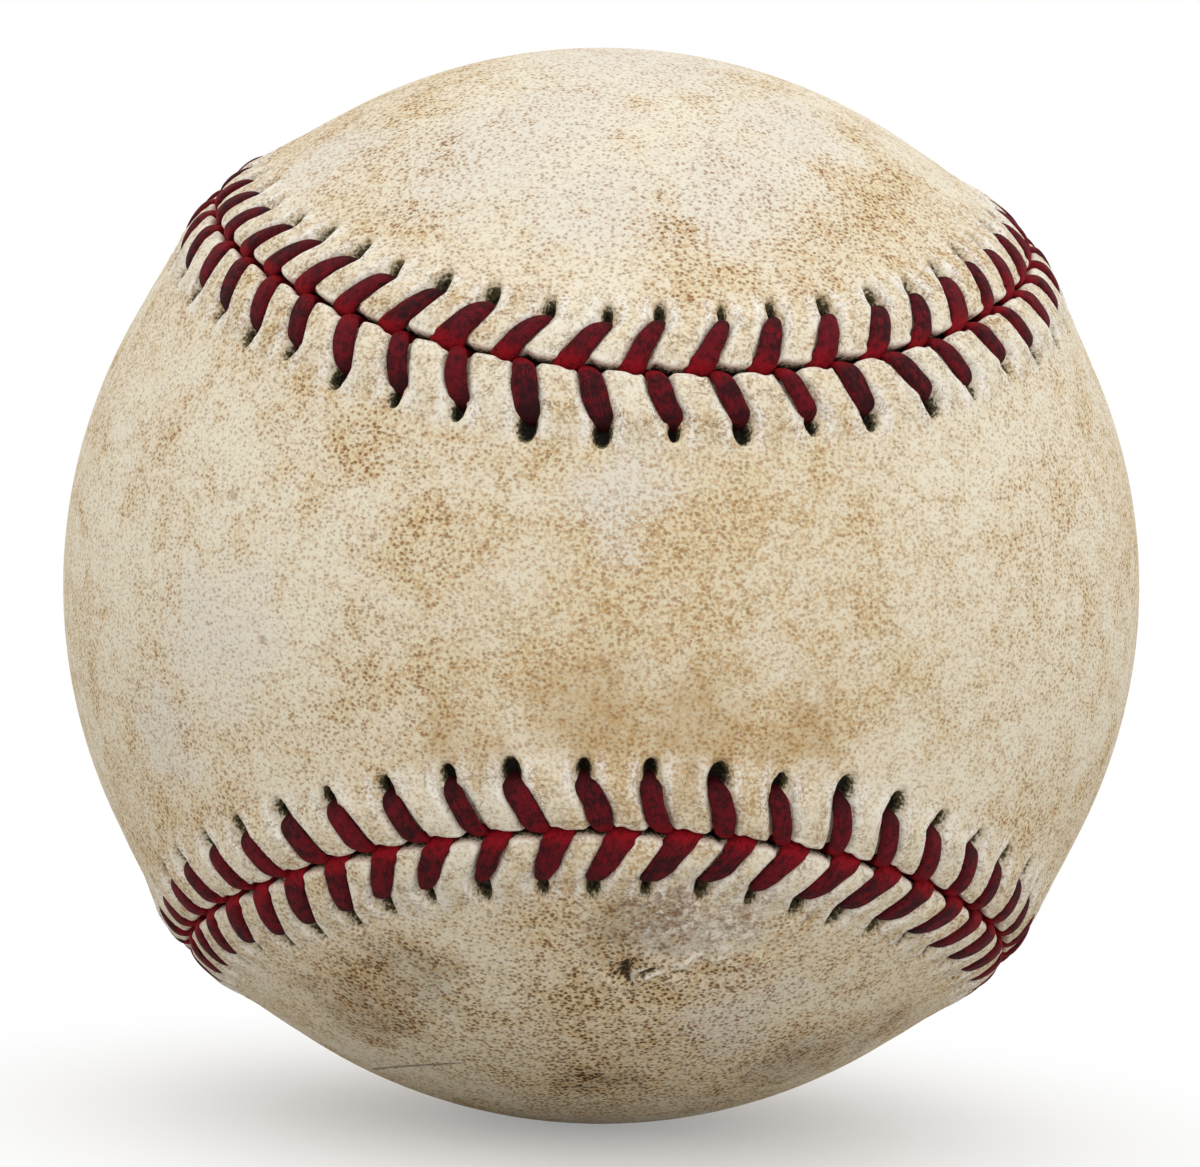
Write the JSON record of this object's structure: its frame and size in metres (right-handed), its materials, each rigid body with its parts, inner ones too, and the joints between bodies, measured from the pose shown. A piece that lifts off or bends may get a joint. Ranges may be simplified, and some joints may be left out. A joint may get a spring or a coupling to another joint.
{
  "type": "baseball",
  "caption": "Hardball with a cushioned cork pill, wound wool and cotton layers and two figure-eight leather panels laced together with red thread along one raised seam.",
  "frame": {"origin": "centre of the ball", "axes": "-Y out of the front panel's waist, its lobes at +X and -X; +Y out of the back panel's waist, its lobes at +Z and -Z"},
  "size_m": [0.0736, 0.0736, 0.0736],
  "materials": {
    "cover_leather": "matte",
    "lacing_thread": "waxed",
    "cement": "satin",
    "cotton_yarn": "matte",
    "gray_wool": "matte",
    "white_wool": "matte",
    "red_rubber": "matte",
    "black_rubber": "matte",
    "cork": "matte"
  },
  "bodies": {
    "root": {"cork_core": "cork", "black_rubber_upper": "black_rubber", "black_rubber_lower": "black_rubber", "red_washer_upper": "red_rubber", "red_washer_lower": "red_rubber", "red_rubber_jacket": "red_rubber", "first_wool_winding": "gray_wool", "second_wool_winding": "white_wool", "third_wool_winding": "gray_wool", "finish_yarn_winding": "cotton_yarn", "cement_film_front": "cement", "cement_film_back": "cement", "cover_panel_front": "cover_leather", "cover_panel_back": "cover_leather", "lacing_strand_first": "lacing_thread", "lacing_strand_second": "lacing_thread"}
  },
  "joints": []
}
